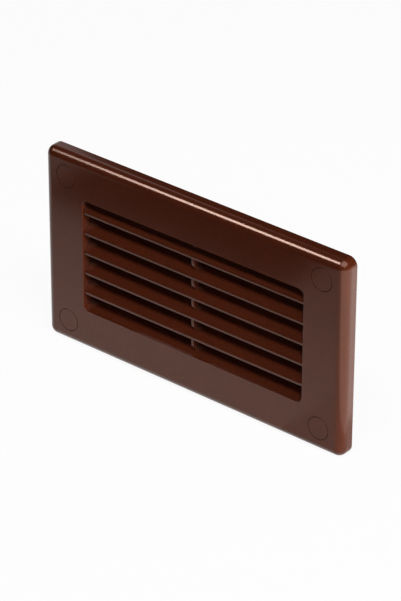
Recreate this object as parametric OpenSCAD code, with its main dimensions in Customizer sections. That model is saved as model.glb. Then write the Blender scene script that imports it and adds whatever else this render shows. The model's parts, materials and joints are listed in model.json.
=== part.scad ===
// Wall grille for the open end of a 110 x 55 flat ventilation duct.
// A rounded cover plate carries five fixed sloping louvres and a collar that slides into the duct.
// Four screws under flush caps hold it to the wall.
// X runs across the plate, Z is up, and the wall is the plane Y = 0 with the room towards -Y.

/* [Cover plate] */
// Width of the plate across the wall
plate_w = 140; // [136:1:150]
// Height of the plate
plate_h = 80; // [78:1:90]
// Depth of the plate, from the wall to its face
plate_d = 6.6; // [6.2:0.1:8]
// Radius of the rounded front edge and of the four corners
edge_r = 3.6; // [3:0.1:4.2]
// Thickness of the face
face_t = 2.4; // [2:0.1:2.6]
// Thickness of the rim that stands on the wall
rim_t = 2.2; // [1.6:0.1:2.8]
// Thickness of the stiffening webs behind the face
web_t = 1.4; // [1:0.1:2]
// How far the stiffening webs stop short of the wall
web_gap = 0.6; // [0.4:0.1:1]
// Distance from the middle to the outer webs above and below the opening
web_x = 32; // [20:1:40]
// Distance from the middle to the webs beside the opening
web_z = 12; // [6:1:18]

/* [Flat duct] */
// Outside width of the duct
duct_w = 110; // [108:1:112]
// Outside height of the duct
duct_h = 55; // [54:1:56]
// Wall thickness of the duct
duct_wall = 1.5; // [1.3:0.1:1.7]
// Play between the collar and the duct on each side
duct_play = 0.3; // [0.2:0.1:0.5]

/* [Duct collar] */
// Wall thickness of the collar and of the sleeve inside the plate
collar_wall = 1.6; // [1.4:0.1:1.8]
// How far the collar goes into the duct
collar_l = 18; // [14:1:20]
// Outside corner radius of the collar
collar_r = 3; // [2.5:0.1:4]
// Length of the thinner lead-in at the collar's end
lead_l = 2; // [1:0.5:3]
// How much thinner the lead-in is on each side
lead_step = 0.5; // [0.2:0.1:0.7]
// Length of each grip bar on the collar
grip_l = 16; // [10:1:20]
// Radius of each grip bar
grip_r = 1; // [0.8:0.1:1.2]
// How far each grip bar stands proud of the collar
grip_proud = 0.3; // [0.2:0.1:0.4]

/* [Louvres] */
// How far the face reaches over the passage behind it, above and below
face_lip = 0.9; // [0.7:0.1:1.2]
// Corner radius of the opening
opening_r = 2.5; // [1.5:0.1:3]
// Height from the opening's top edge down to the first louvre's lower front edge
top_slot = 6.2; // [5.9:0.1:6.5]
// Height from the last louvre's lower front edge down to the opening's bottom edge
bottom_slot = 6.6; // [6.3:0.1:6.9]
// Height of a louvre's front edge
nose_h = 1.3; // [1:0.1:1.6]
// Height of a louvre's rear edge
tail_h = 1.8; // [1.4:0.1:2.2]
// Depth of a louvre from front to back
blade_d = 4.4; // [4:0.1:4.8]
// Slope of a louvre's top surface, rising towards the back
blade_tilt = 45; // [40:1:48]
// How far the louvres sit behind the face
nose_recess = 0.6; // [0.5:0.1:0.9]
// How far behind the face the sill starts to rise
sill_recess = 1.3; // [1:0.1:1.7]
// Thickness of the upright rib in the middle
rib_t = 1.2; // [1:0.1:1.6]
// How far the rib's front edge sits behind the louvres' front edges
rib_recess = 0.8; // [0.6:0.1:1.1]
// Radius of the bend that brings the rib's front edge back to the slope below it
rib_bend_r = 4.4; // [3.8:0.1:4.8]
// How far the rib's spine reaches behind the louvres
rib_spine = 3.6; // [2.5:0.1:5]

/* [Screws and caps] */
// Distance from the plate's side edge to the cap centre
cap_inset_x = 10.6; // [10.4:0.1:11]
// Distance from the plate's top or bottom edge to the cap centre
cap_inset_z = 9.6; // [9.4:0.1:10]
// Radius of a cap
cap_r = 4.4; // [4.2:0.05:4.5]
// Gap round a cap in its pocket
cap_play = 0.2; // [0.15:0.05:0.3]
// Depth of a cap
cap_d = 2.6; // [2.2:0.1:2.8]
// Thickness of a cap's face
cap_face = 1.2; // [1:0.1:1.6]
// Thickness of a cap's skirt
cap_skirt = 0.6; // [0.5:0.05:0.7]
// Thickness of the post's wall round each pocket
boss_wall = 1; // [0.8:0.1:1.3]
// Radius of the screw's thread
shank_r = 1.75; // [1.6:0.05:2]
// Radius of the smooth neck between the head and the thread
neck_r = 1.4; // [1.2:0.1:1.5]
// Radius of the screw's head
head_r = 3.5; // [3:0.1:3.6]
// Length of the screw, with its head
screw_l = 13; // [11:1:13]
// Length of the screw's point
point_l = 3; // [2:0.5:4]
// Radius of the blunt end of the point
tip_r = 0.2; // [0.1:0.05:0.3]
// Clearance round the thread in the plate
shank_play = 0.35; // [0.25:0.05:0.5]
// Length of each arm of the cross recess in the head
cross_l = 4; // [3:0.1:4.5]
// Width of each arm of the cross recess
cross_w = 0.9; // [0.7:0.05:1.1]
// Depth of the cross recess
cross_d = 1.2; // [0.8:0.1:1.3]

/* [Hidden] */

$fn = 64;
// Overlap that keeps cuts and joined shapes clean
cut = 0.5;
brown = "#4a2418";
zinc = "#c9c6bd";

// The collar fits inside the duct, and the sleeve inside the plate continues it
collar_w = duct_w - 2 * (duct_wall + duct_play);
collar_h = duct_h - 2 * (duct_wall + duct_play);
passage_w = collar_w - 2 * collar_wall;
passage_h = collar_h - 2 * collar_wall;
passage_r = collar_r - collar_wall;
opening_h = passage_h - 2 * face_lip;

// Depths measured back from the wall plane, so the face is at -plate_d
face_back = -plate_d + face_t;
nose_y = -plate_d + nose_recess;
sill_y = -plate_d + sill_recess;
tail_y = nose_y + blade_d;
blade_rise = blade_d * tan(blade_tilt);
rib_y = nose_y + rib_recess;
bend_y = rib_y + rib_bend_r;

// The louvres share the opening's height evenly
BLADES = 5;
blade_pitch = (opening_h - top_slot - bottom_slot) / (BLADES - 1);

// Screws and caps sit at the four corners
cap_x = plate_w / 2 - cap_inset_x;
cap_z = plate_h / 2 - cap_inset_z;
seat = plate_d - cap_d;
head_h = head_r - neck_r;
hole_r = shank_r + shank_play;
pocket_r = cap_r + cap_play;
boss_r = pocket_r + boss_wall;

// Height of the lower front edge of louvre number i, counted from the top
function nose_z(i) = opening_h / 2 - top_slot - (i - 1) * blade_pitch;

// Draws flat work, with its height along y, standing on the wall and facing the room
module stand_up() {
    rotate([90, 0, 0]) children();
}

// Extrudes a side view, drawn as depth and height, across the plate
module across(width) {
    rotate([90, 0, 90]) linear_extrude(width, center = true) children();
}

// Rectangle with round corners
module rounded_rect(w, h, r) {
    square([w - 2 * r, h], center = true);
    square([w, h - 2 * r], center = true);
    for (sx = [-1, 1], sy = [-1, 1])
        translate([sx * (w / 2 - r), sy * (h / 2 - r)]) circle(r);
}

// Rods and balls that round the front edge and its corners
module edge_rounds(w, h, r) {
    for (side = [-1, 1]) {
        translate([side * (w / 2 - r), 0, 0])
            rotate([90, 0, 0]) cylinder(h = h - 2 * r, r = r, center = true);
        translate([0, side * (h / 2 - r), 0])
            rotate([0, 90, 0]) cylinder(h = w - 2 * r, r = r, center = true);
    }
    for (sx = [-1, 1], sy = [-1, 1])
        translate([sx * (w / 2 - r), sy * (h / 2 - r), 0]) sphere(r);
}

// Plate with round corners and a round front edge of the same radius
module rounded_slab(w, h, d, r) {
    linear_extrude(d - r) rounded_rect(w, h, r);
    linear_extrude(d) square([w - 2 * r, h - 2 * r], center = true);
    intersection() {
        translate([0, 0, d - r]) edge_rounds(w, h, r);
        linear_extrude(d) square([w, h], center = true);
    }
}

// Places a shape at the corner given by its two signs
module at_corner(sx, sz) {
    translate([sx * cap_x, sz * cap_z, 0]) children();
}

// Hollow behind the face, between the rim and the sleeve round the opening
module back_hollow() {
    translate([0, 0, -cut])
        linear_extrude(plate_d - face_t + cut)
            difference() {
                rounded_rect(plate_w - 2 * rim_t, plate_h - 2 * rim_t, edge_r - rim_t);
                rounded_rect(collar_w, collar_h, collar_r);
            }
}

// Stiffening webs that tie the sleeve to the rim
module back_webs() {
    web_d = plate_d - face_t - web_gap + cut;
    high = (plate_h - collar_h) / 2;
    wide = (plate_w - collar_w) / 2;
    for (side = [-1, 1]) {
        for (x = [-web_x, 0, web_x])
            translate([x, side * (collar_h + high) / 2, web_gap + web_d / 2])
                cube([web_t, high - rim_t, web_d], center = true);
        for (y = [-web_z, web_z])
            translate([side * (collar_w + wide) / 2, y, web_gap + web_d / 2])
                cube([wide - rim_t, web_t, web_d], center = true);
    }
}

// Pocket for a cap, countersink for the screw head and hole that its thread passes
module screw_hole() {
    translate([0, 0, seat]) cylinder(h = cap_d + cut, r = pocket_r);
    translate([0, 0, seat - head_r + hole_r])
        cylinder(h = head_r - hole_r, r1 = hole_r, r2 = head_r);
    translate([0, 0, -cut]) cylinder(h = seat + cut, r = hole_r);
}

// Space inside the sleeve and the opening, longer by extra at both ends
module air_way(extra) {
    translate([0, 0, -extra]) {
        linear_extrude(plate_d - face_t + extra) rounded_rect(passage_w, passage_h, passage_r);
        linear_extrude(plate_d + 2 * extra) rounded_rect(passage_w, opening_h, opening_r);
    }
}

module front_frame() {
    color(brown) stand_up() difference() {
        union() {
            difference() {
                rounded_slab(plate_w, plate_h, plate_d, edge_r);
                back_hollow();
            }
            back_webs();
            for (sx = [-1, 1], sz = [-1, 1])
                at_corner(sx, sz) cylinder(h = plate_d - face_t + cut, r = boss_r);
        }
        air_way(cut);
        for (sx = [-1, 1], sz = [-1, 1])
            at_corner(sx, sz) screw_hole();
    }
}

module duct_collar() {
    grip_z = -collar_l / 2;
    color(brown) stand_up() difference() {
        union() {
            translate([0, 0, -collar_l + lead_l])
                linear_extrude(collar_l - lead_l) rounded_rect(collar_w, collar_h, collar_r);
            translate([0, 0, -collar_l])
                linear_extrude(lead_l + cut)
                    rounded_rect(collar_w - 2 * lead_step, collar_h - 2 * lead_step, collar_r - lead_step);
            for (side = [-1, 1], x = [-collar_w / 4, collar_w / 4])
                translate([x, side * (collar_h / 2 + grip_proud - grip_r), grip_z])
                    rotate([0, 90, 0]) cylinder(h = grip_l, r = grip_r, center = true);
        }
        translate([0, 0, -collar_l - cut])
            linear_extrude(collar_l + 2 * cut) rounded_rect(passage_w, passage_h, passage_r);
    }
}

// Side view of louvre number i
module blade_outline(i) {
    top = nose_z(i) + nose_h;
    polygon([
        [nose_y, nose_z(i)],
        [nose_y, top],
        [tail_y, top + blade_rise],
        [tail_y, top + blade_rise - tail_h]
    ]);
}

module louvre_blade(i) {
    color(brown) across(passage_w) blade_outline(i);
}

// Side view of the ramp that sheds water off the bottom of the opening
module sill_outline() {
    polygon([
        [face_back, -passage_h / 2],
        [face_back, -opening_h / 2],
        [sill_y, -opening_h / 2],
        [tail_y, -opening_h / 2 + (tail_y - sill_y) * tan(blade_tilt)],
        [tail_y, -passage_h / 2]
    ]);
}

module bottom_sill() {
    color(brown) intersection() {
        across(passage_w) sill_outline();
        stand_up() air_way(0);
    }
}

// Room in front of the rib's bend, above a slope that starts at the given depth and height
module bend_room(y, z) {
    reach = rib_bend_r + cut;
    // The bend's centre lies on the slope, so the rib meets the slope squarely
    translate([bend_y, z + (bend_y - y) * tan(blade_tilt)]) difference() {
        polygon([[0, 0], [-reach, 0], [-reach, -reach * tan(blade_tilt)]]);
        circle(rib_bend_r);
    }
}

// Upright comb whose spine joins the louvres behind their rear edges
module centre_rib() {
    color(brown) across(rib_t) difference() {
        union() {
            translate([rib_y, -opening_h / 2]) square([tail_y - rib_y, opening_h]);
            translate([face_back, -passage_h / 2]) square([tail_y + rib_spine - face_back, passage_h]);
        }
        for (i = [1:BLADES]) {
            blade_outline(i);
            bend_room(nose_y, nose_z(i) + nose_h);
        }
        sill_outline();
        bend_room(sill_y, -opening_h / 2);
    }
}

// Push-in cap, a shallow cup whose skirt stands on the floor of its pocket
module screw_cap(sx, sz) {
    color(brown) stand_up() at_corner(sx, sz) translate([0, 0, seat]) difference() {
        cylinder(h = cap_d, r = cap_r);
        translate([0, 0, -cut]) cylinder(h = cap_d - cap_face + cut, r = cap_r - cap_skirt);
    }
}

// Countersunk screw with a cross recess, whose smooth neck ends at the wall plane
module fixing_screw(sx, sz) {
    buried = screw_l - seat;
    color(zinc) stand_up() at_corner(sx, sz) difference() {
        union() {
            translate([0, 0, seat - head_h]) cylinder(h = head_h, r1 = neck_r, r2 = head_r);
            cylinder(h = seat - head_h, r = neck_r);
            translate([0, 0, point_l - buried]) cylinder(h = buried - point_l, r = shank_r);
            translate([0, 0, -buried]) cylinder(h = point_l, r1 = tip_r, r2 = shank_r);
        }
        for (turn = [0, 90])
            rotate([0, 0, turn]) translate([0, 0, seat + (cut - cross_d) / 2])
                cube([cross_l, cross_w, cross_d + cut], center = true);
    }
}

front_frame();
duct_collar();
louvre_blade(1);  // louvre_blade_1
louvre_blade(2);  // louvre_blade_2
louvre_blade(3);  // louvre_blade_3
louvre_blade(4);  // louvre_blade_4
louvre_blade(5);  // louvre_blade_5
bottom_sill();
centre_rib();
screw_cap(-1, 1);  // screw_cap_top_left
screw_cap(1, 1);  // screw_cap_top_right
screw_cap(-1, -1);  // screw_cap_bottom_left
screw_cap(1, -1);  // screw_cap_bottom_right
fixing_screw(-1, 1);  // fixing_screw_top_left
fixing_screw(1, 1);  // fixing_screw_top_right
fixing_screw(-1, -1);  // fixing_screw_bottom_left
fixing_screw(1, -1);  // fixing_screw_bottom_right
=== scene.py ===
# %% [markdown]
# This is the cover grille for the open end of a flat ventilation duct, moulded in brown plastic. The
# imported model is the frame: it holds every piece at its true size and place, and nothing in it is moved.
# This script models the pieces again with the soft edges of a real moulding and gives them their
# finishes. Lengths are in metres. X runs across the plate, Z is up, the wall is the plane Y = 0 and the
# room lies towards -Y.

import json
import math

import bmesh
import bpy
from mathutils import Matrix, Vector

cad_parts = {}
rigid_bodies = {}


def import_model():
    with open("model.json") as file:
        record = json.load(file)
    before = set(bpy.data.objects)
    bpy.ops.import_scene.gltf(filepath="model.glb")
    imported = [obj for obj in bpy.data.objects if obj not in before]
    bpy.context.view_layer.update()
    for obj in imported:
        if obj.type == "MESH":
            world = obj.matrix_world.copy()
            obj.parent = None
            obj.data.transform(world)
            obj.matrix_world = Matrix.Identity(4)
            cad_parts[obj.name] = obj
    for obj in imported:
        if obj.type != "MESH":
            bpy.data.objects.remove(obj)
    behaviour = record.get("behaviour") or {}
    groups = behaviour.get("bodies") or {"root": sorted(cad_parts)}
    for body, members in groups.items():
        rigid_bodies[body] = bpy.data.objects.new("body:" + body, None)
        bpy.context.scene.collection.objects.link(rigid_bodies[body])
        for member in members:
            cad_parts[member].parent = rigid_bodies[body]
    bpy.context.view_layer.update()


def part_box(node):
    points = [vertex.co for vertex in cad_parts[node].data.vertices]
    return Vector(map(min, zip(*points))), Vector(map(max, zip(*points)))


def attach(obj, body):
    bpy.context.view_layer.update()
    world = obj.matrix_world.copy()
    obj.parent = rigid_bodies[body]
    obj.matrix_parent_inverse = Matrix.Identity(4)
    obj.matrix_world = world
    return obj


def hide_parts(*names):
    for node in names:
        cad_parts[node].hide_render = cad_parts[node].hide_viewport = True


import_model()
mm = 0.001

# %% [markdown]
# The camera comes first, because it decides which edges show. The photograph was taken from the right and
# from above through a long lens, so the plate's far end looks only a little smaller than its near end. A
# long lens far away gives that look, while a short lens close by would splay the edges. The camera aims a
# little to the right of the face's middle, which puts the plate where it stands in the picture, so no
# lens shift is needed.

# %% Camera
plate_low, plate_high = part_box("front_frame")
face_y, wall_y = plate_low.y, plate_high.y
azimuth, elevation, roll = math.radians(39.7), math.radians(30.0), math.radians(0.19)
camera_distance = 1.1664
aim_right = 3.84 * mm
lens_mm = 193.6

camera = bpy.data.objects.new("camera", bpy.data.cameras.new("camera"))
camera.data.lens = lens_mm
bpy.context.scene.collection.objects.link(camera)
bpy.context.scene.camera = camera
turn = (
    Matrix.Rotation(azimuth, 4, "Z")
    @ Matrix.Rotation(math.pi / 2 - elevation, 4, "X")
    @ Matrix.Rotation(roll, 4, "Z")
)
right, backward = turn.col[0].to_3d(), turn.col[2].to_3d()
face_middle = Vector((0, face_y, (plate_low.z + plate_high.z) / 2))
camera_place = face_middle + right * aim_right + backward * camera_distance
camera.matrix_world = Matrix.Translation(camera_place) @ turn
print("camera at", [round(c, 3) for c in camera.matrix_world.translation])

# %% [markdown]
# Every piece starts as a primitive of its true size. These helpers add one, select parts of it by their
# place or direction, as a hand would with the mouse, round the selected edges, and join or cut one piece
# with another. An operator acts on everything that is selected, so each helper first clears the
# selection. Place and size are applied to the mesh at once, so a finished piece's object stays at the
# origin, unturned and unscaled. A last helper finishes a piece: it welds the points that cuts leave on
# top of each other, as an open seam would show in the gloss.

# %% Helpers for modelling
near_reach = 0.01 * mm
weld_reach = 0.002 * mm
straight_share = 0.999
sharp_angle = math.radians(60)
smooth_angle = math.radians(35)


def only(piece):
    """Makes this piece the one that is selected and active."""
    bpy.ops.object.select_all(action="DESELECT")
    piece.select_set(True)
    bpy.context.view_layer.objects.active = piece


def settle(name):
    """Names the new primitive and moves its place, turn and size into its mesh."""
    piece = bpy.context.object
    piece.name = name
    only(piece)
    bpy.ops.object.transform_apply(location=True, rotation=True, scale=True)
    return piece


def add_block(name, low, high):
    """A block between two corners."""
    low, high = Vector(low), Vector(high)
    bpy.ops.object.select_all(action="DESELECT")
    bpy.ops.mesh.primitive_cube_add(size=1, location=(low + high) / 2, scale=high - low)
    return settle(name)


def add_round(name, x, z, y_low, y_high, r_low, r_high=None, sides=64):
    """A cylinder or cone along Y, with its radius at each end."""
    bpy.ops.object.select_all(action="DESELECT")
    bpy.ops.mesh.primitive_cone_add(
        vertices=sides,
        radius1=r_low,
        radius2=r_low if r_high is None else r_high,
        depth=y_high - y_low,
        location=(x, (y_low + y_high) / 2, z),
        rotation=(-math.pi / 2, 0, 0),
    )
    return settle(name)


def add_rod(name, place, radius, length, sides=64):
    """A cylinder along X round a place."""
    bpy.ops.object.select_all(action="DESELECT")
    bpy.ops.mesh.primitive_cylinder_add(
        vertices=sides, radius=radius, depth=length, location=place, rotation=(0, math.pi / 2, 0)
    )
    return settle(name)


def copy_of(piece, name, move=(0, 0, 0)):
    """A copy with a mesh of its own, moved within that mesh."""
    twin = piece.copy()
    twin.data = piece.data.copy()
    twin.name = name
    twin.data.transform(Matrix.Translation(move))
    bpy.context.scene.collection.objects.link(twin)
    return twin


def pick(piece, kind, test):
    """Selects the verts, edges or faces of a piece that pass a test, and leaves it in edit mode."""
    only(piece)
    bpy.ops.object.mode_set(mode="EDIT")
    bpy.ops.mesh.select_mode(type=kind)
    bpy.ops.mesh.select_all(action="DESELECT")
    mesh = bmesh.from_edit_mesh(piece.data)
    parts = {"VERT": mesh.verts, "EDGE": mesh.edges, "FACE": mesh.faces}[kind]
    for part in parts:
        part.select_set(test(part))
    mesh.select_flush_mode()
    bmesh.update_edit_mesh(piece.data)
    return sum(part.select for part in parts)


def done():
    """Leaves edit mode."""
    bpy.ops.object.mode_set(mode="OBJECT")


def near(a, b):
    """True where two lengths are the same to a hundredth of a millimetre."""
    return abs(a - b) < near_reach


def middle(edge):
    """The point halfway along an edge."""
    return (edge.verts[0].co + edge.verts[1].co) / 2


def is_sharp(edge):
    """True where two faces meet at a sharp angle."""
    return len(edge.link_faces) == 2 and edge.calc_face_angle() > sharp_angle


def runs_along(edge, axis):
    """True where an edge is straight along an axis: 0 for X, 1 for Y, 2 for Z."""
    way = edge.verts[1].co - edge.verts[0].co
    return way.length > 0 and abs(way[axis]) > straight_share * way.length


def round_edges(piece, width, test, segments=6):
    """Rounds the edges that pass a test, and returns how many there were.

    The width is what each face loses. On a square edge that is the radius.
    """
    count = pick(piece, "EDGE", test)
    bpy.ops.mesh.bevel(offset=width, segments=segments, profile=0.5, affect="EDGES")
    done()
    return count


def add_rounded_block(name, low, high, radius, segments=12):
    """A block whose four edges along Y are rounded, as every outline of this moulding is."""
    piece = add_block(name, low, high)
    round_edges(piece, radius, lambda edge: runs_along(edge, 1), segments)
    return piece


def slice_off(piece, point, way):
    """Cuts a piece by a plane through a point and removes the side that the way points to."""
    pick(piece, "FACE", lambda face: True)
    bpy.ops.mesh.bisect(plane_co=point, plane_no=way, use_fill=True, clear_outer=True)
    done()


def combine(piece, tool, operation):
    """Joins a piece with a tool shape or cuts it by one, and removes the tool."""
    modifier = piece.modifiers.new("combine", "BOOLEAN")
    modifier.operation = operation
    modifier.solver = "EXACT"
    modifier.object = tool
    only(piece)
    bpy.ops.object.modifier_apply(modifier=modifier.name)
    bpy.data.objects.remove(tool)


def weld(piece):
    """Merges points that the cuts left on top of each other, and deletes faces that lie inside the body."""
    pick(piece, "VERT", lambda vert: True)
    bpy.ops.mesh.remove_doubles(threshold=weld_reach)
    done()
    inside = pick(piece, "FACE", lambda face: all(len(edge.link_faces) > 2 for edge in face.edges))
    if inside:
        bpy.ops.mesh.delete(type="FACE")
    done()


def finish(piece, replaced, body):
    """Welds a piece, smooths its edges, hides the part it replaces and hangs it on its body."""
    weld(piece)
    only(piece)
    bpy.ops.object.shade_smooth_by_angle(angle=smooth_angle)
    modifier = piece.modifiers.new("flat faces", "WEIGHTED_NORMAL")
    modifier.mode = "FACE_AREA"
    modifier.weight = 100
    modifier.keep_sharp = True
    bpy.ops.object.modifier_apply(modifier=modifier.name)
    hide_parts(replaced)
    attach(piece, body)
    print(piece.name, "faces:", len(piece.data.polygons))


# %% [markdown]
# The cover plate is a shallow tray with a face 2.4 mm thick. Its front edge and its four corners share
# one radius, which the light draws as the long bright line along the top. A block with all eight of those
# edges bevelled at once gives that edge, and a ball at each corner where three bevels meet. Subdivision
# would round it too, but would pull the flat face out of true.

# %% Cover plate: the block and its rounded edge
edge_r = 3.6 * mm
cover = add_block("cover_plate", plate_low, plate_high)
rounded = round_edges(cover, edge_r, lambda edge: middle(edge).y < wall_y - edge_r / 2, segments=20)
print("rounded edges of the plate:", rounded)

# %% [markdown]
# From behind, the plate is hollow, as thin-walled mouldings are, so that it cools evenly and stays flat.
# A rim stands on the wall, a sleeve round the opening carries the louvres, posts hold the screws and thin
# webs tie them together. Each of these is a plain shape, so the hollow is cut out with one tool shape and
# the rest is joined in with others.

# %% Cover plate: hollow back, sleeve, posts and webs
face_t = 2.4 * mm
rim_t = 2.2 * mm
web_t, web_gap = 1.4 * mm, 0.6 * mm
overlap = 0.5 * mm
face_back = face_y + face_t
sleeve_r = 3.0 * mm
collar_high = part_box("duct_collar")[1]
grip_proud = 0.3 * mm
sleeve_x, sleeve_z = collar_high.x, collar_high.z - grip_proud
hollow = add_rounded_block(
    "hollow",
    (plate_low.x + rim_t, face_back, plate_low.z + rim_t),
    (plate_high.x - rim_t, wall_y + overlap, plate_high.z - rim_t),
    edge_r - rim_t,
)
combine(cover, hollow, "DIFFERENCE")
sleeve = add_rounded_block(
    "sleeve", (-sleeve_x, face_back - overlap, -sleeve_z), (sleeve_x, wall_y, sleeve_z), sleeve_r
)
combine(cover, sleeve, "UNION")

caps = {}
for corner in ("top_left", "top_right", "bottom_left", "bottom_right"):
    low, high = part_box("screw_cap_" + corner)
    caps[corner] = ((low.x + high.x) / 2, (low.z + high.z) / 2)
cap_low, cap_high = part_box("screw_cap_top_right")
cap_r = (cap_high.x - cap_low.x) / 2
cap_play = 0.2 * mm
pocket_r = cap_r + cap_play
post_wall = 1.0 * mm
post_r = pocket_r + post_wall
for x, z in caps.values():
    combine(cover, add_round("post", x, z, face_back - overlap, wall_y, post_r), "UNION")

web_x, web_z = 32 * mm, 12 * mm
web_foot, web_top = face_back - overlap, wall_y - web_gap
for side in (-1, 1):
    low, high = sorted((side * (sleeve_z - overlap), side * (plate_high.z - rim_t + overlap)))
    for x in (-web_x, 0, web_x):
        web = add_block("web", (x - web_t / 2, web_foot, low), (x + web_t / 2, web_top, high))
        combine(cover, web, "UNION")
    low, high = sorted((side * (sleeve_x - overlap), side * (plate_high.x - rim_t + overlap)))
    for z in (-web_z, web_z):
        web = add_block("web", (low, web_foot, z - web_t / 2), (high, web_top, z + web_t / 2))
        combine(cover, web, "UNION")
print("faces after the back is built:", len(cover.data.polygons))

# %% [markdown]
# The passage behind the face is a little taller than the opening in it, so the face hides its upper and
# lower walls. The pockets for the caps, with a countersink and a hole for each screw below them, are
# turned shapes. A wide shallow cut and a narrow deep one make each pocket, as a stepped core pin does in
# the mould.

# %% Cover plate: passage, opening and pockets
blade_low, blade_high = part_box("louvre_blade_1")
sill_low, sill_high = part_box("bottom_sill")
passage_x, passage_z = blade_high.x, -sill_low.z
passage_r = 1.4 * mm
face_lip = 0.9 * mm
opening_z = passage_z - face_lip
opening_r = 2.5 * mm
passage = add_rounded_block(
    "passage", (-passage_x, face_back, -passage_z), (passage_x, wall_y + overlap, passage_z), passage_r
)
combine(cover, passage, "DIFFERENCE")
opening = add_rounded_block(
    "opening",
    (-passage_x, face_y - overlap, -opening_z),
    (passage_x, wall_y + overlap, opening_z),
    opening_r,
)
combine(cover, opening, "DIFFERENCE")

seat_y = cap_high.y
head_r, hole_r = 3.5 * mm, 2.1 * mm
for x, z in caps.values():
    combine(cover, add_round("pocket", x, z, face_y - overlap, seat_y, pocket_r), "DIFFERENCE")
    sink_y = seat_y + head_r - hole_r
    sink = add_round("sink", x, z, seat_y - overlap, sink_y + overlap, head_r + overlap, hole_r - overlap)
    combine(cover, sink, "DIFFERENCE")
    combine(cover, add_round("hole", x, z, seat_y, wall_y + overlap, hole_r), "DIFFERENCE")
print("faces after the cuts:", len(cover.data.polygons))

# %% [markdown]
# No edge of a moulding is knife sharp. The rim of the opening is soft at its sides, which shows as a
# light line on the left, and runs out to a crisp edge above and below, where drops fall off. One bevel
# makes both: each edge carries a weight, its share of the full radius, and the weight falls along the
# four corners. The rims of the pockets are crisp too, so that the caps leave only a thin dark ring.

# %% Cover plate: soft rims
opening_edge_r = 0.8 * mm
crisp_share = 0.08
pocket_edge_r = 0.06 * mm
rear_edge_r = 0.4 * mm
outward_share = 0.15


def is_rim(edge):
    """True for an edge where the flat face turns into a hole."""
    return all(near(vert.co.y, face_y) for vert in edge.verts) and is_sharp(edge)


def at_opening(edge):
    """True for an edge round the opening, and not round a pocket."""
    spot = middle(edge)
    return abs(spot.x) < passage_x + overlap and abs(spot.z) < opening_z + overlap


def at_pocket(edge):
    """True for an edge on the outline of a pocket."""
    for x, z in caps.values():
        if all(near(math.hypot(vert.co.x - x, vert.co.z - z), pocket_r) for vert in edge.verts):
            return True
    return False


def rim_share(edge):
    """The share of the full radius at an edge of the opening: 1 at the sides, little above and below."""
    reach = (abs(middle(edge).x) - passage_x) / opening_r + 1
    return max(crisp_share, min(1.0, reach))


pocket_edges = round_edges(cover, pocket_edge_r, lambda edge: is_rim(edge) and at_pocket(edge), segments=2)
print("edges round the pockets:", pocket_edges)
mesh = bmesh.new()
mesh.from_mesh(cover.data)
weight = mesh.edges.layers.float.new("bevel_weight_edge")
for edge in mesh.edges:
    if is_rim(edge) and at_opening(edge):
        edge[weight] = rim_share(edge)
mesh.to_mesh(cover.data)
mesh.free()
softener = cover.modifiers.new("softener", "BEVEL")
softener.limit_method = "WEIGHT"
softener.width = opening_edge_r
softener.segments = 5
only(cover)
bpy.ops.object.modifier_apply(modifier=softener.name)


def at_back_outline(edge):
    """True for the outer edges that stand on the wall."""
    for vert in edge.verts:
        past_corner = max(abs(vert.co.x) - plate_high.x, abs(vert.co.z) - plate_high.z)
        if past_corner < -edge_r or not near(vert.co.y, wall_y):
            return False
    outward = Vector((middle(edge).x, 0, middle(edge).z)).normalized()
    return is_sharp(edge) and any(face.normal.dot(outward) > outward_share for face in edge.link_faces)


back_edges = round_edges(cover, rear_edge_r, at_back_outline, segments=4)
print("edges at the back's outline:", back_edges)
finish(cover, "front_frame", "grille")

# %% [markdown]
# The five louvres are alike: a slat that rises at 45 degrees towards the back, so that rain runs off it
# and a look from above meets plastic. Its blunt front edge leans back a little at the bottom, so it
# mirrors the light floor and shows as a thin light line: it is crisp below, where the drops fall off, and
# soft above. One slat is made from a block by lifting its rear edges, and the others are copies, moved
# down by the spacing.

# %% Louvres
nose_h, tail_h = 1.3 * mm, 1.8 * mm
nose_lean = 0.15 * mm
nose_top_soft, nose_low_soft, tail_soft = 0.6 * mm, 0.15 * mm, 0.3 * mm


def make_louvre(name, low, high):
    """One sloping slat inside the box that the frame gives it."""
    slat = add_block(name, low, (high.x, high.y, low.z + nose_h))
    rise = high.z - low.z - nose_h
    pick(slat, "VERT", lambda vert: near(vert.co.y, high.y) and vert.co.z > low.z + nose_h / 2)
    bpy.ops.transform.translate(value=(0, 0, rise))
    done()
    pick(slat, "VERT", lambda vert: near(vert.co.y, high.y) and near(vert.co.z, low.z))
    bpy.ops.transform.translate(value=(0, 0, rise + nose_h - tail_h))
    done()
    pick(slat, "VERT", lambda vert: near(vert.co.y, low.y) and near(vert.co.z, low.z))
    bpy.ops.transform.translate(value=(0, nose_lean, 0))
    done()

    def at_nose(edge):
        return runs_along(edge, 0) and middle(edge).y < low.y + 2 * nose_lean

    def at_tail(edge):
        return runs_along(edge, 0) and near(middle(edge).y, high.y)

    round_edges(slat, nose_top_soft, lambda edge: at_nose(edge) and near(middle(edge).z, low.z + nose_h))
    round_edges(slat, nose_low_soft, lambda edge: at_nose(edge) and near(middle(edge).z, low.z), segments=3)
    round_edges(slat, tail_soft, at_tail, segments=4)
    return slat


louvres = [make_louvre("louvre_1", blade_low, blade_high)]
for number in range(2, 6):
    low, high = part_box("louvre_blade_%d" % number)
    louvres.append(copy_of(louvres[0], "louvre_%d" % number, (0, 0, low.z - blade_low.z)))
spacing = (blade_low.z - low.z) / (len(louvres) - 1)
print("louvres:", len(louvres), "spaced", round(spacing / mm, 2), "mm")

# %% [markdown]
# Below the last louvre a sill carries the water out over the lower edge of the opening. It fills the
# passage behind the face and the narrower opening in it, so two blocks are joined and one plane is cut
# through both for its slope.

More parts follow.
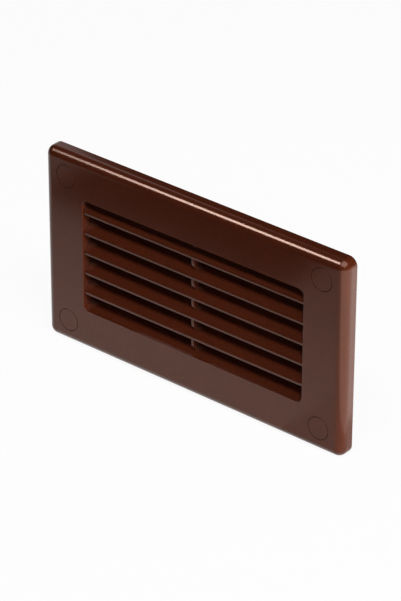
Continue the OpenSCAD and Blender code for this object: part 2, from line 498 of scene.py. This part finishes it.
# %% Drip sill
slope = (blade_high.z - blade_low.z - nose_h) / (blade_high.y - blade_low.y)
sill = add_rounded_block(
    "drip_sill", (-passage_x, face_back, -passage_z), (passage_x, sill_high.y, passage_z), passage_r
)
toe = add_rounded_block(
    "toe", (-passage_x, sill_low.y, -opening_z), (passage_x, face_back + overlap, opening_z), opening_r
)
combine(sill, toe, "UNION")
slice_off(sill, (0, sill_low.y, -opening_z), (0, -slope, 1))
print("sill rises", round((sill_high.z + opening_z) / mm, 2), "mm")

# %% [markdown]
# An upright rib in the middle ties the louvres together, so that they can't be pushed apart or sag while
# they cool. It is a comb whose spine runs behind the louvres. Between two louvres its front edge comes
# straight down and then bends back to meet the lower slope squarely, which a roller-shaped cut makes.
# Everything that touches the rib is cut out of it, so that the pieces meet face to face and don't lie in
# each other.

# %% Centre rib
rib_low, rib_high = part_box("centre_rib")
bend_r = 4.4 * mm
bend_y = rib_low.y + bend_r
rib = add_block("upright_rib", (rib_low.x, face_back, rib_low.z), rib_high)
rib_front = add_block(
    "rib_front", (rib_low.x, rib_low.y, -opening_z), (rib_high.x, face_back + overlap, opening_z)
)
combine(rib, rib_front, "UNION")


def cut_bend(y, z):
    """Cuts the rib's front back to a bend above a slope that starts at a depth and a height.

    The cut reaches into the slat below, where the rib is gone already, so that no thin film stays on it.
    """
    bend_z = z + (bend_y - y) * slope
    room = add_block(
        "room",
        (rib_low.x - overlap, rib_low.y - overlap, bend_z - bend_r - 2 * overlap),
        (rib_high.x + overlap, bend_y, bend_z),
    )
    slice_off(room, (0, bend_y, bend_z - overlap), (0, slope, -1))
    roller = add_rod("roller", (0, bend_y, bend_z), bend_r, rib_high.x - rib_low.x + 4 * overlap, sides=96)
    combine(room, roller, "DIFFERENCE")
    combine(rib, room, "DIFFERENCE")


for louvre in louvres:
    nose_top = min(vert.co.z for vert in louvre.data.vertices) + nose_h
    combine(rib, copy_of(louvre, "cutter"), "DIFFERENCE")
    cut_bend(blade_low.y, nose_top)
combine(rib, copy_of(sill, "cutter"), "DIFFERENCE")
cut_bend(sill_low.y, -opening_z)
rib_edge_r = 0.25 * mm
sideways_share, forward_share, upward_share = 0.9, 0.6, 0.1


def is_rib_front(edge):
    """True where a flat side of the rib meets its front edge or a bend."""
    if len(edge.link_faces) != 2 or middle(edge).y > blade_high.y - overlap:
        return False
    side, front = sorted(edge.link_faces, key=lambda face: -abs(face.normal.x))
    faces_forward = front.normal.y < -forward_share and front.normal.z < upward_share
    return abs(side.normal.x) > sideways_share and faces_forward


print("front edges of the rib:", round_edges(rib, rib_edge_r, is_rib_front, segments=4))
for number, louvre in enumerate(louvres, 1):
    finish(louvre, "louvre_blade_%d" % number, "grille")
finish(rib, "centre_rib", "grille")
finish(sill, "bottom_sill", "grille")

# %% [markdown]
# The collar behind the plate slides into the duct. It has a thinner lead-in at its end that finds the
# duct's mouth, and four low bars across its upper and lower walls that grip it. The lead-in is a second,
# slightly smaller block that reaches further, and each bar is a rod sunk into the wall.

# %% Duct collar
lead_l, lead_step = 2.0 * mm, 0.5 * mm
collar = add_rounded_block(
    "collar", (-sleeve_x, wall_y, -sleeve_z), (sleeve_x, collar_high.y - lead_l, sleeve_z), sleeve_r
)
lead = add_rounded_block(
    "lead",
    (-sleeve_x + lead_step, wall_y, -sleeve_z + lead_step),
    (sleeve_x - lead_step, collar_high.y, sleeve_z - lead_step),
    sleeve_r - lead_step,
)
combine(collar, lead, "UNION")
grip_r, grip_l = 1.0 * mm, 16 * mm
grip_y = collar_high.y / 2
for side in (-1, 1):
    for x in (-sleeve_x / 2, sleeve_x / 2):
        grip = add_rod("grip", (x, grip_y, side * (collar_high.z - grip_r)), grip_r, grip_l, sides=32)
        combine(collar, grip, "UNION")
bore = add_rounded_block(
    "bore",
    (-passage_x, wall_y - overlap, -passage_z),
    (passage_x, collar_high.y + overlap, passage_z),
    passage_r,
)
combine(collar, bore, "DIFFERENCE")
collar_edge_r = 0.25 * mm


def at_mouth(edge):
    """True for a sharp edge at the collar's end."""
    return middle(edge).y > collar_high.y - lead_l - overlap and is_sharp(edge)


print("edges at the collar's end:", round_edges(collar, collar_edge_r, at_mouth, segments=3))
finish(collar, "duct_collar", "grille")

# %% [markdown]
# Each cap is a shallow cup that pushes into its pocket over the screw head. Its face is flush with the
# plate, so only the ring of the gap shows. It is a short cylinder with a soft front rim, hollowed from
# behind by an inset and an extrude. One cap is modelled, and the other three are copies of it with meshes
# of their own.

# %% Screw caps
cap_face_t, cap_skirt_t = 1.2 * mm, 0.6 * mm
cap_edge_r = 0.06 * mm
cap_x, cap_z = caps["top_right"]
first_cap = add_round("cap_top_right", cap_x, cap_z, face_y, seat_y, cap_r)
pick(first_cap, "FACE", lambda face: near(face.calc_center_median().y, seat_y))
bpy.ops.mesh.inset(thickness=cap_skirt_t, depth=0)
bpy.ops.mesh.extrude_region_move(TRANSFORM_OT_translate={"value": (0, cap_face_t - (seat_y - face_y), 0)})
done()
front_edges = round_edges(
    first_cap, cap_edge_r, lambda edge: all(near(vert.co.y, face_y) for vert in edge.verts), segments=3
)
print("edges round a cap's face:", front_edges)
for corner, (x, z) in caps.items():
    cap = first_cap
    if corner != "top_right":
        cap = copy_of(first_cap, "cap_" + corner, (x - cap_x, 0, z - cap_z))
    finish(cap, "screw_cap_" + corner, "cap_" + corner)

# %% [markdown]
# The screws are countersunk, with a cross recess and a cut thread, and their points show behind the
# plate. The thread is one short zigzag line, the profile of one turn, which the Screw modifier winds
# round the axis and moves along it. The turns only touch at first, so their shared points are merged, and
# a face closes each end: a cut needs a closed body. It is wound a turn too long at both ends, and then
# cut to the outline of a pointed shank. That outline is a little wider than the thread, because two
# surfaces in the same place cut each other badly.

# %% Fixing screws: the thread
screw_low, screw_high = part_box("fixing_screw_top_right")
neck_r, core_r, thread_r = 1.4 * mm, 1.2 * mm, 1.75 * mm
tip_r, point_l = 0.2 * mm, 3.0 * mm
thread_pitch = 1.3 * mm
point_y = screw_high.y - point_l
turns = math.ceil((screw_high.y - wall_y) / thread_pitch) + 2
# A small plane that is merged to one point starts the zigzag line.
bpy.ops.object.select_all(action="DESELECT")
bpy.ops.mesh.primitive_plane_add(size=mm, location=(core_r, wall_y - thread_pitch, 0))
thread = settle("thread")
pick(thread, "VERT", lambda vert: True)
bpy.ops.mesh.merge(type="CENTER")
crest_h = thread_r - core_r
root_share, rise_share, crest_share, fall_share = 0.45, 0.22, 0.06, 0.27
profile = ((0, root_share), (crest_h, rise_share), (0, crest_share), (-crest_h, fall_share))
for outward, share in profile:
    bpy.ops.mesh.extrude_region_move(TRANSFORM_OT_translate={"value": (outward, share * thread_pitch, 0)})
done()
winder = thread.modifiers.new("winder", "SCREW")
winder.axis = "Y"
winder.screw_offset = thread_pitch
winder.iterations = turns
winder.steps = winder.render_steps = 32
only(thread)
bpy.ops.object.modifier_apply(modifier=winder.name)
pick(thread, "VERT", lambda vert: True)
bpy.ops.mesh.remove_doubles(threshold=weld_reach)
done()
pick(thread, "EDGE", lambda edge: edge.is_boundary)
bpy.ops.mesh.fill_holes(sides=0)
bpy.ops.mesh.select_all(action="SELECT")
bpy.ops.mesh.normals_make_consistent(inside=False)
done()
crest_play = 0.05 * mm
outline_r = thread_r + crest_play
screw_sides = 48
shank = add_round("shank", 0, 0, wall_y, point_y, outline_r, sides=screw_sides)
point = add_round("point", 0, 0, point_y, screw_high.y, outline_r, tip_r, screw_sides)
combine(shank, point, "UNION")
combine(thread, shank, "INTERSECT")
print("thread turns:", turns - 2, "faces:", len(thread.data.polygons))

# %% [markdown]
# A countersunk head is a short cone, so that it sinks in and draws the plate to its place as it tightens.
# Below it a plain neck runs to the wall, where the thread begins. Two crossed slots cut into the head make
# the recess. One screw is built, and its copies go into the four holes.

# %% Fixing screws: head, neck and cross recess
cross_l, cross_w, cross_d = 4.0 * mm, 0.9 * mm, 1.2 * mm
head_end = screw_low.y + head_r - neck_r
screw = add_round("screw", 0, 0, screw_low.y, head_end, head_r, neck_r, screw_sides)
neck = add_round("neck", 0, 0, head_end - overlap, wall_y + overlap, neck_r, sides=screw_sides)
combine(screw, neck, "UNION")
combine(screw, thread, "UNION")
for width, height in ((cross_l, cross_w), (cross_w, cross_l)):
    slot = add_block(
        "slot",
        (-width / 2, screw_low.y - overlap, -height / 2),
        (width / 2, screw_low.y + cross_d, height / 2),
    )
    combine(screw, slot, "DIFFERENCE")
for corner, (x, z) in caps.items():
    finish(copy_of(screw, "screw_" + corner, (x, 0, z)), "fixing_screw_" + corner, "grille")
bpy.data.objects.remove(screw)

# %% [markdown]
# Colours are written as sRGB hex, as a paint chart gives them, and Blender's shaders work in linear
# light, so one function turns each into linear. Another adds a node with its settings and its links,
# which keeps each material readable as a list of steps.

# %% Helpers for materials
def linear(hex_colour):
    """Turns an sRGB hex colour into linear RGBA."""
    parts = [int(hex_colour[i : i + 2], 16) / 255 for i in (1, 3, 5)]
    return [p / 12.92 if p <= 0.04045 else ((p + 0.055) / 1.055) ** 2.4 for p in parts] + [1.0]


def add_node(tree, kind, settings=None, values=None, links=None):
    """Adds a node, sets its properties and its sockets, and links sockets to other nodes' outputs."""
    node = tree.nodes.new(kind)
    for key, value in (settings or {}).items():
        setattr(node, key, value)
    for key, value in (values or {}).items():
        node.inputs[key].default_value = value
    for key, output in (links or {}).items():
        tree.links.new(output, node.inputs[key])
    return node


def new_material(name):
    """An empty node material with its output."""
    material = bpy.data.materials.new(name)
    material.use_nodes = True
    material.node_tree.nodes.clear()
    output = add_node(material.node_tree, "ShaderNodeOutputMaterial")
    return material, material.node_tree, output


def wear(material, *pieces):
    """Gives pieces one material."""
    for piece in pieces:
        piece.data.materials.clear()
        piece.data.materials.append(material)


# %% [markdown]
# The grille is moulded in brown ABS, coloured right through. The mould was given a fine satin texture, so
# the surface is smooth to the hand and has a soft gloss. The colour is deep and warm where it mirrors
# something dark, and turns greyer where it mirrors a light floor. Three patterns make it: a large soft
# cloud shifts the tint, as colourant that isn't mixed perfectly does, a small mottle shifts it as painted
# shade that stands in for the tiny shadows of the satin texture, and a grain varies the gloss and adds a
# very shallow relief. A warm tint on the gloss keeps its light parts brown.

# %% Brown ABS
cloud_mm = 18
# The mottle is painted shade, which stands in for the tiny shadows of the satin texture. Mottle and grain
# are finer on the real surface. They are drawn coarser here, so that they still show in the picture.
shade_mottle_mm = 0.9
grain_mm = 0.22
shade_mottle_share = 0.65
relief_mm = 0.01
plastic, tree, output = new_material("abs_brown_satin")
place = add_node(tree, "ShaderNodeTexCoord")
# The cloud gives the eye slow changes of tone across the face, and the mottle, painted shade of the satin
# texture, a liveliness within them.
cloud = add_node(
    tree,
    "ShaderNodeTexNoise",
    values={"Scale": 1 / (cloud_mm * mm), "Detail": 3.0, "Roughness": 0.55},
    links={"Vector": place.outputs["Object"]},
)
shade_mottle = add_node(
    tree,
    "ShaderNodeTexNoise",
    values={"Scale": 1 / (shade_mottle_mm * mm), "Detail": 1.0, "Roughness": 0.5},
    links={"Vector": place.outputs["Object"]},
)
# This factor mixes the cloud's tone with the mottle's painted shade.
tone_and_shade = add_node(
    tree,
    "ShaderNodeMix",
    settings={"data_type": "FLOAT"},
    values={"Factor": shade_mottle_share},
    links={"A": cloud.outputs["Fac"], "B": shade_mottle.outputs["Fac"]},
)
tint = add_node(
    tree,
    "ShaderNodeMix",
    settings={"data_type": "RGBA"},
    values={"A": linear("#3a1609"), "B": linear("#542414")},
    links={"Factor": tone_and_shade.outputs["Result"]},
)
# The grain breaks up the edges of what the surface mirrors, which tells the eye that it is moulded and not
# lacquered.
grain = add_node(
    tree,
    "ShaderNodeTexNoise",
    values={"Scale": 1 / (grain_mm * mm), "Detail": 2.0, "Roughness": 0.5},
    links={"Vector": place.outputs["Object"]},
)
polish = add_node(
    tree,
    "ShaderNodeMapRange",
    values={"To Min": 0.16, "To Max": 0.20},
    links={"Value": grain.outputs["Fac"]},
)
relief = add_node(
    tree,
    "ShaderNodeBump",
    values={"Strength": 0.015, "Distance": relief_mm * mm},
    links={"Height": grain.outputs["Fac"]},
)
shader = add_node(
    tree,
    "ShaderNodeBsdfPrincipled",
    values={"IOR": 1.5, "Specular Tint": (1.0, 0.66, 0.53, 1.0)},
    links={
        "Base Color": tint.outputs["Result"],
        "Roughness": polish.outputs["Result"],
        "Normal": relief.outputs["Normal"],
    },
)
tree.links.new(shader.outputs["BSDF"], output.inputs["Surface"])
brown_pieces = [cover, collar, rib, sill, *louvres] + [bpy.data.objects["cap_" + corner] for corner in caps]
wear(plastic, *brown_pieces)
print("brown pieces:", len(brown_pieces))

# %% [markdown]
# The screws are steel with a thin bright zinc plating. The plating is a little uneven: its patches differ
# in tone and in how sharply they mirror, which keeps the metal from looking like chrome.

# %% Zinc-plated steel
patch_mm = 1.5
zinc, tree, output = new_material("steel_zinc_plated")
place = add_node(tree, "ShaderNodeTexCoord")
patch = add_node(
    tree,
    "ShaderNodeTexNoise",
    values={"Scale": 1 / (patch_mm * mm), "Detail": 3.0},
    links={"Vector": place.outputs["Object"]},
)
tone = add_node(
    tree,
    "ShaderNodeMix",
    settings={"data_type": "RGBA"},
    values={"A": linear("#b9b7ae"), "B": linear("#d2d0c8")},
    links={"Factor": patch.outputs["Fac"]},
)
dull = add_node(
    tree,
    "ShaderNodeMapRange",
    values={"To Min": 0.25, "To Max": 0.45},
    links={"Value": patch.outputs["Fac"]},
)
shader = add_node(
    tree,
    "ShaderNodeBsdfPrincipled",
    values={"Metallic": 1.0},
    links={"Base Color": tone.outputs["Result"], "Roughness": dull.outputs["Result"]},
)
tree.links.new(shader.outputs["BSDF"], output.inputs["Surface"])
screws = [bpy.data.objects["screw_" + corner] for corner in caps]
wear(zinc, *screws)
print("zinc-plated pieces:", len(screws))

# %% [markdown]
# The studio is a white table in a dark room. The object stands on the white, and the camera sees nothing
# else, so floor and backdrop show as pure white, also in the gloss and through the openings. They give
# that white by emission to those rays alone. The floor keeps a little of its real shading for the camera,
# so that the shadow under the plate stays. Everything else that lights the object is a lamp or a panel.

# %% Floor and world
floor_white_share = 0.93
room_glow = 0.06


def sees_white(tree):
    """The Light Path node, and a factor of 1 for rays that a glossy or a clear surface sends on."""
    ray = add_node(tree, "ShaderNodeLightPath")
    either = add_node(
        tree,
        "ShaderNodeMath",
        settings={"operation": "MAXIMUM"},
        links={0: ray.outputs["Is Glossy Ray"], 1: ray.outputs["Is Transmission Ray"]},
    )
    return ray, either


floor_z = plate_low.z
floor_size = 6.0
bpy.ops.object.select_all(action="DESELECT")
bpy.ops.mesh.primitive_plane_add(size=floor_size, location=(0, 0, floor_z))
floor = settle("floor")
pale, tree, output = new_material("floor_pale")
shader = add_node(tree, "ShaderNodeBsdfDiffuse", values={"Color": linear("#f4f4f4")})
glow = add_node(tree, "ShaderNodeEmission", values={"Strength": 1.0})
ray, either = sees_white(tree)
white_share = add_node(
    tree,
    "ShaderNodeMath",
    settings={"operation": "MULTIPLY_ADD"},
    values={1: floor_white_share},
    links={0: ray.outputs["Is Camera Ray"], 2: either.outputs["Value"]},
)
mix = add_node(
    tree,
    "ShaderNodeMixShader",
    links={0: white_share.outputs["Value"], 1: shader.outputs["BSDF"], 2: glow.outputs["Emission"]},
)
tree.links.new(mix.outputs["Shader"], output.inputs["Surface"])
wear(pale, floor)

world = bpy.data.worlds.new("studio")
bpy.context.scene.world = world
world.use_nodes = True
tree = world.node_tree
tree.nodes.clear()
output = add_node(tree, "ShaderNodeOutputWorld")
ray, either = sees_white(tree)
seen = add_node(
    tree,
    "ShaderNodeMath",
    settings={"operation": "MAXIMUM"},
    links={0: ray.outputs["Is Camera Ray"], 1: either.outputs["Value"]},
)
room = add_node(tree, "ShaderNodeBackground", values={"Strength": room_glow})
white = add_node(tree, "ShaderNodeBackground", values={"Color": (1, 1, 1, 1), "Strength": 1.0})
mix = add_node(
    tree,
    "ShaderNodeMixShader",
    links={0: seen.outputs["Value"], 1: room.outputs["Background"], 2: white.outputs["Background"]},
)
tree.links.new(mix.outputs["Shader"], output.inputs["Surface"])
print("floor at", round(floor_z / mm, 1), "mm, share of plain white in it:", floor_white_share)

# %% [markdown]
# A glossy brown face in an all-white room would look grey. Product photographers hang black cloth where
# the camera sees the object mirror the room, and lay cards where it should look lighter. The camera and
# the object's plain shading don't notice these sheets: only the gloss does. Three kinds of material make
# them: a card that glows more near the plate's foot than further out, a black cloth, and panels that glow
# evenly.

# %% Materials of the cloths and cards
card_near, card_far = -0.03, -0.095
weave_scale = 60.0
card_grey, tree, output = new_material("card_graduated_grey")
place = add_node(tree, "ShaderNodeTexCoord")
split = add_node(tree, "ShaderNodeSeparateXYZ", links={"Vector": place.outputs["Object"]})
nearness = add_node(
    tree,
    "ShaderNodeMapRange",
    values={"From Min": card_far, "From Max": card_near},
    links={"Value": split.outputs["Y"]},
)
grey = add_node(
    tree,
    "ShaderNodeMix",
    settings={"data_type": "RGBA"},
    values={"A": linear("#c9c9c9"), "B": linear("#fafafa")},
    links={"Factor": nearness.outputs["Result"]},
)
glow = add_node(tree, "ShaderNodeEmission", links={"Color": grey.outputs["Result"]})
tree.links.new(glow.outputs["Emission"], output.inputs["Surface"])

cloth_black, tree, output = new_material("cloth_black")
weave = add_node(tree, "ShaderNodeTexNoise", values={"Scale": weave_scale, "Detail": 2.0})
dark = add_node(
    tree,
    "ShaderNodeMix",
    settings={"data_type": "RGBA"},
    values={"A": linear("#060606"), "B": linear("#0c0b0b")},
    links={"Factor": weave.outputs["Fac"]},
)
shader = add_node(
    tree, "ShaderNodeBsdfDiffuse", values={"Roughness": 1.0}, links={"Color": dark.outputs["Result"]}
)
tree.links.new(shader.outputs["BSDF"], output.inputs["Surface"])


def glowing(name, strength):
    """A panel that glows evenly, as an acrylic sheet with a lamp behind it does."""
    material, tree, output = new_material(name)
    glow = add_node(tree, "ShaderNodeEmission", values={"Strength": strength})
    tree.links.new(glow.outputs["Emission"], output.inputs["Surface"])
    return material


print("the graduated card fades over", round((card_near - card_far) / mm), "mm")

# %% [markdown]
# The face mirrors the table in front of it: its foot mirrors the near part and its top the far part. So a
# graduated card lies near, with a light grey one over it on the right, and a black one beyond them: the
# face gets lighter below and stays deep brown above. The bright panel on the right is mirrored by the
# plate's right side and rounded edge, and the one behind on the left by the left end of the upper side.
# Black cloth hangs on all sides and above, and covers the table's far part.

# %% Cloths and cards
sheet_t = 0.5 * mm
room_side, room_top = 2.2, 2.4


def hang(name, material, low, high):
    """A thin cloth or card between two corners, which only the object's gloss notices."""
    sheet = add_block(name, low, high)
    wear(material, sheet)
    sheet.visible_camera = False
    sheet.visible_diffuse = False
    sheet.visible_shadow = False
    return sheet


def lay(name, material, x, y, layer):
    """A sheet on the table between two X and two Y, in a layer that keeps it clear of other sheets."""
    low_z, high_z = floor_z + layer * sheet_t, floor_z + (layer + 1) * sheet_t
    return hang(name, material, (x[0], y[0], low_z), (x[1], y[1], high_z))


grey_panel = glowing("card_light_grey", strength=0.78)
bright_panel = glowing("panel_bright", strength=2.1)
white_panel = glowing("panel_white", strength=0.8)
lay("card_table", card_grey, x=(-0.5, 0.065), y=(-0.2, card_near), layer=1)
lay("card_side", grey_panel, x=(0.042, 0.085), y=(-0.2, face_y), layer=3)
lay("card_black", cloth_black, x=(-0.15, -0.02), y=(-0.5, -0.084), layer=3)
lay("panel_right", bright_panel, x=(0.085, 0.5), y=(-0.3, 0.5), layer=1)
back_x, back_y, back_z = (-0.7, -0.295), (0.263, 0.264), (floor_z + 0.1, floor_z + 0.7)
hang("panel_back", white_panel, (back_x[0], back_y[0], back_z[0]), (back_x[1], back_y[1], back_z[1]))

cloth_foot, cloth_top = floor_z + sheet_t, room_top + sheet_t
hang("cloth_above", cloth_black, (-room_side, -room_side, room_top), (room_side, room_side, cloth_top))
for side in (-1, 1):
    low, high = sorted((side * room_side, side * (room_side + sheet_t)))
    hang("cloth_along_y", cloth_black, (low, -room_side, cloth_foot), (high, room_side, room_top))
    hang("cloth_along_x", cloth_black, (-room_side, low, cloth_foot), (room_side, high, room_top))
far_part = -0.15
cloth_low, cloth_high = floor_z + sheet_t / 4, floor_z + sheet_t / 2
cloth_table = hang(
    "cloth_table", cloth_black, (-room_side, -room_side, cloth_low), (room_side, far_part, cloth_high)
)
# The far table would also throw white light on the object, so plain shading sees this cloth.
cloth_table.visible_diffuse = True
sheets = [piece.name for piece in bpy.data.objects if piece.name.startswith(("card", "cloth", "panel"))]
print("cloths, cards and panels:", len(sheets))

# %% [markdown]
# Four lamps light the object. The key hangs high on the right and in front: it lights the face and draws
# the shadow of each louvre on the slope below. Its gloss is left to a wider lamp in the same direction,
# which shows as the soft spot on the plate's corner. A softbox in front on the left is only mirrored, as
# the bright line along the rounded edge. It is linked to the plate and its caps, because no such line
# shows on the louvres. A low lamp far to the right lights the plate's right side and the inner wall of
# the opening that faces it.

# %% Lamps
side_share = 0.9


def along_x(way):
    """A turn whose Z is a direction and whose X is as near to the object's own X as it can be."""
    across = (Vector((1, 0, 0)) - way * way.x).normalized()
    return Matrix((across, way.cross(across), way)).transposed()


def add_lamp(name, way, distance, width, height, power):
    """A rectangular white lamp that stands off in a direction and faces the object."""
    data = bpy.data.lights.new(name, "AREA")
    data.shape = "RECTANGLE"
    data.size, data.size_y, data.energy = width, height, power
    lamp = bpy.data.objects.new(name, data)
    bpy.context.scene.collection.objects.link(lamp)
    way = Vector(way).normalized()
    from_side = abs(way.x) > side_share
    level = way.to_track_quat("Z", "Y").to_matrix() if from_side else along_x(way)
    lamp.matrix_world = Matrix.Translation(way * distance) @ level.to_4x4()
    lamp.visible_camera = False
    return lamp


key_way = (0.30, -0.40, 0.87)
key = add_lamp("key", key_way, distance=1.5, width=1.3, height=0.38, power=18)
key.visible_glossy = False
key_glow = add_lamp("key_glow", key_way, distance=1.1, width=1.2, height=1.2, power=18)
key_glow.visible_diffuse = False
softbox = add_lamp("softbox", (-0.50, -0.50, 0.66), distance=1.2, width=0.24, height=0.36, power=6.2)
softbox.visible_diffuse = False
plate_only = bpy.data.collections.new("plate_only")
for piece in (cover, *[bpy.data.objects["cap_" + corner] for corner in caps]):
    plate_only.objects.link(piece)
softbox.light_linking.receiver_collection = plate_only
side_lamp = add_lamp("side", (0.98, -0.04, 0.12), distance=1.5, width=0.2, height=0.3, power=25)
side_lamp.visible_glossy = False
for lamp in (key, key_glow, softbox, side_lamp):
    print("lamp", lamp.name, "stands at", [round(c, 2) for c in lamp.location])

# %% [markdown]
# The view transform is Standard, so colours come out as they are written.

# %% View transform
bpy.context.scene.view_settings.view_transform = "Standard"
